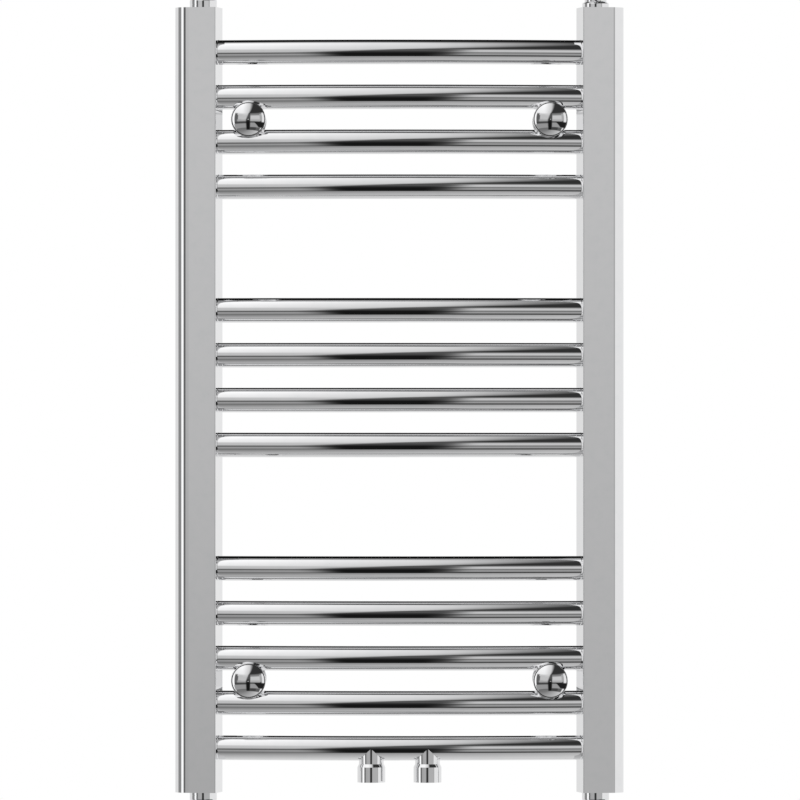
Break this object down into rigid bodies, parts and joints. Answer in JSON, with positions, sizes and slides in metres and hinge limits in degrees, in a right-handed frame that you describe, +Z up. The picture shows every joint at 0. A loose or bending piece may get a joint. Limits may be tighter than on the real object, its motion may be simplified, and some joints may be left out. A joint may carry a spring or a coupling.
{
  "type": "towel radiator",
  "caption": "Bowed ladder towel radiator: round crossbars in groups between two D-shaped collectors, middle connections, bleed valve and adjustable wall brackets.",
  "frame": {"origin": "on the wall plane, in the middle of the four wall fixing holes", "axes": "+Y into the wall, so the room and the radiator's front face -Y; +Z up along the collectors; +X to the right as seen from the room"},
  "size_m": [0.4, 0.0976, 0.723],
  "materials": {
    "chrome_plate": "chrome plate on polished steel tube",
    "chrome_brass": "chrome plate on turned brass",
    "chrome_zinc": "chrome plate on cast zinc",
    "zinc_plated_steel": "bright zinc-plated screws",
    "plain_steel": "bare steel, hidden inside the tube",
    "bare_brass": "machined brass",
    "seal_rubber": "black moulded seal"
  },
  "bodies": {
    "wall_side": {"wall_socket_upper_left": "chrome_zinc", "wall_socket_upper_right": "chrome_zinc", "wall_socket_lower_left": "chrome_zinc", "wall_socket_lower_right": "chrome_zinc", "grub_screws": "zinc_plated_steel"},
    "radiator": {"collector_left": "chrome_plate", "connection_socket_left": "chrome_plate", "collector_right": "chrome_plate", "connection_socket_right": "chrome_plate", "crossbar_01": "chrome_plate", "crossbar_02": "chrome_plate", "crossbar_03": "chrome_plate", "crossbar_04": "chrome_plate", "crossbar_05": "chrome_plate", "crossbar_06": "chrome_plate", "crossbar_07": "chrome_plate", "crossbar_08": "chrome_plate", "crossbar_09": "chrome_plate", "crossbar_10": "chrome_plate", "crossbar_11": "chrome_plate", "crossbar_12": "chrome_plate", "crossbar_13": "chrome_plate", "end_plate_top_left": "chrome_plate", "seal_ring_top_left": "seal_rubber", "blind_plug_top_left": "chrome_brass", "end_plate_bottom_left": "chrome_plate", "seal_ring_bottom_left": "seal_rubber", "blind_plug_bottom_left": "chrome_brass", "end_plate_bottom_right": "chrome_plate", "seal_ring_bottom_right": "seal_rubber", "blind_plug_bottom_right": "chrome_brass", "end_plate_top_right": "chrome_plate", "seal_ring_top_right": "seal_rubber", "flow_divider": "plain_steel", "vent_body": "chrome_brass", "front_clamp_upper_left": "chrome_zinc", "rear_clamp_upper_left": "chrome_zinc", "standoff_post_upper_left": "chrome_zinc", "front_clamp_upper_right": "chrome_zinc", "rear_clamp_upper_right": "chrome_zinc", "standoff_post_upper_right": "chrome_zinc", "front_clamp_lower_left": "chrome_zinc", "rear_clamp_lower_left": "chrome_zinc", "standoff_post_lower_left": "chrome_zinc", "front_clamp_lower_right": "chrome_zinc", "rear_clamp_lower_right": "chrome_zinc", "standoff_post_lower_right": "chrome_zinc", "clamp_screws": "zinc_plated_steel"},
    "turning_outlet": {"vent_outlet": "chrome_brass"},
    "bleed_screw": {"bleed_screw": "bare_brass"},
    "cap_upper_left": {"dome_cap_upper_left": "chrome_zinc"},
    "cap_upper_right": {"dome_cap_upper_right": "chrome_zinc"},
    "cap_lower_left": {"dome_cap_lower_left": "chrome_zinc"},
    "cap_lower_right": {"dome_cap_lower_right": "chrome_zinc"}
  },
  "joints": [
    {"name": "wall_distance", "type": "slide", "parent": "wall_side", "child": "radiator", "axis": [0, 1, 0], "range_m": [-0.008, 0.008]},
    {"name": "bleed_screw_turn", "type": "hinge", "parent": "radiator", "child": "bleed_screw", "pos_m": [0.175, -0.0677, 0.35], "axis": [0, 0, 1], "range_deg": [0, 360]},
    {"name": "vent_outlet_turn", "type": "hinge", "parent": "radiator", "child": "turning_outlet", "pos_m": [0.175, -0.0677, 0.35], "axis": [0, 0, 1], "continuous": true},
    {"name": "cap_upper_left_pull", "type": "slide", "parent": "radiator", "child": "cap_upper_left", "axis": [0, -1, 0], "range_m": [0, 0.01]},
    {"name": "cap_upper_right_pull", "type": "slide", "parent": "radiator", "child": "cap_upper_right", "axis": [0, -1, 0], "range_m": [0, 0.01]},
    {"name": "cap_lower_left_pull", "type": "slide", "parent": "radiator", "child": "cap_lower_left", "axis": [0, -1, 0], "range_m": [0, 0.01]},
    {"name": "cap_lower_right_pull", "type": "slide", "parent": "radiator", "child": "cap_lower_right", "axis": [0, -1, 0], "range_m": [0, 0.01]}
  ]
}
